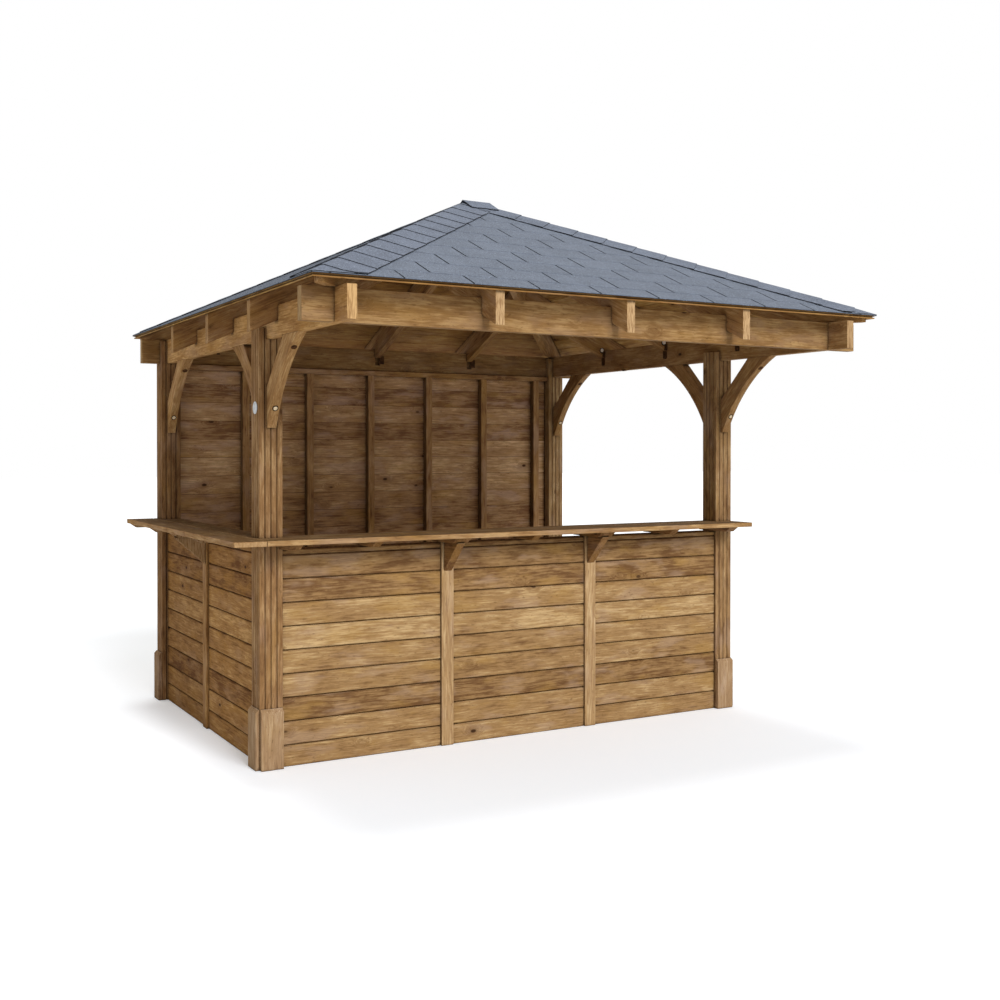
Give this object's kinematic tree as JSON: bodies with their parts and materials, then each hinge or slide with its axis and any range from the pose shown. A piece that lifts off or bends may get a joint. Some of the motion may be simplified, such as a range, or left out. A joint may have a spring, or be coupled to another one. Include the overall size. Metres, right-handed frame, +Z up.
{
  "type": "outdoor garden bar",
  "caption": "Open timber garden bar with a hipped shingle roof on fluted posts, a counter on two sides and a boarded back wall.",
  "frame": {"origin": "on the ground, below the middle of the whole outline", "axes": "+Z up, +X to the right seen from the front counter, +Y to the back wall"},
  "size_m": [3.238, 3.026, 2.9526],
  "materials": {
    "post_wood": "satin",
    "plinth_wood": "satin",
    "beam_wood": "satin",
    "brace_wood": "satin",
    "bracket_wood": "satin",
    "counter_wood": "satin",
    "roof_board_wood": "satin",
    "rafter_wood": "satin",
    "back_board_wood": "satin",
    "stud_wood": "satin",
    "mid_post_wood": "satin",
    "panel_wood": "satin",
    "shingle": "rough",
    "shingle_cap": "rough",
    "plate": "matt"
  },
  "bodies": {
    "root": {"back_plinth_boards": "plinth_wood", "back_rafters": "rafter_wood", "back_wall_boards": "back_board_wood", "back_wall_studs": "stud_wood", "back_wall_top_rail": "stud_wood", "beam_back": "beam_wood", "beam_front": "beam_wood", "beam_left": "beam_wood", "beam_right": "beam_wood", "brace_back_left": "brace_wood", "brace_back_right": "brace_wood", "brace_front_left_fore": "brace_wood", "brace_front_left_rear": "brace_wood", "brace_front_right_fore": "brace_wood", "brace_front_right_rear": "brace_wood", "counter_brackets": "bracket_wood", "counter_front": "counter_wood", "counter_left": "counter_wood", "front_mid_posts": "mid_post_wood", "front_panel_left": "panel_wood", "front_panel_middle": "panel_wood", "front_panel_right": "panel_wood", "front_plinth_boards": "plinth_wood", "front_rafters": "rafter_wood", "hip_and_ridge_caps": "shingle_cap", "hip_rafters": "rafter_wood", "left_rafters": "rafter_wood", "post_back_left": "post_wood", "post_back_right": "post_wood", "post_front_left": "post_wood", "post_front_right": "post_wood", "post_plate": "plate", "ridge_board": "rafter_wood", "right_rafters": "rafter_wood", "roof_boards_back": "roof_board_wood", "roof_boards_front": "roof_board_wood", "roof_boards_left": "roof_board_wood", "roof_boards_right": "roof_board_wood", "shingles_back": "shingle", "shingles_front": "shingle", "shingles_left": "shingle", "shingles_right": "shingle", "side_mid_post": "mid_post_wood", "side_panel_back": "panel_wood", "side_panel_front": "panel_wood"}
  },
  "joints": []
}
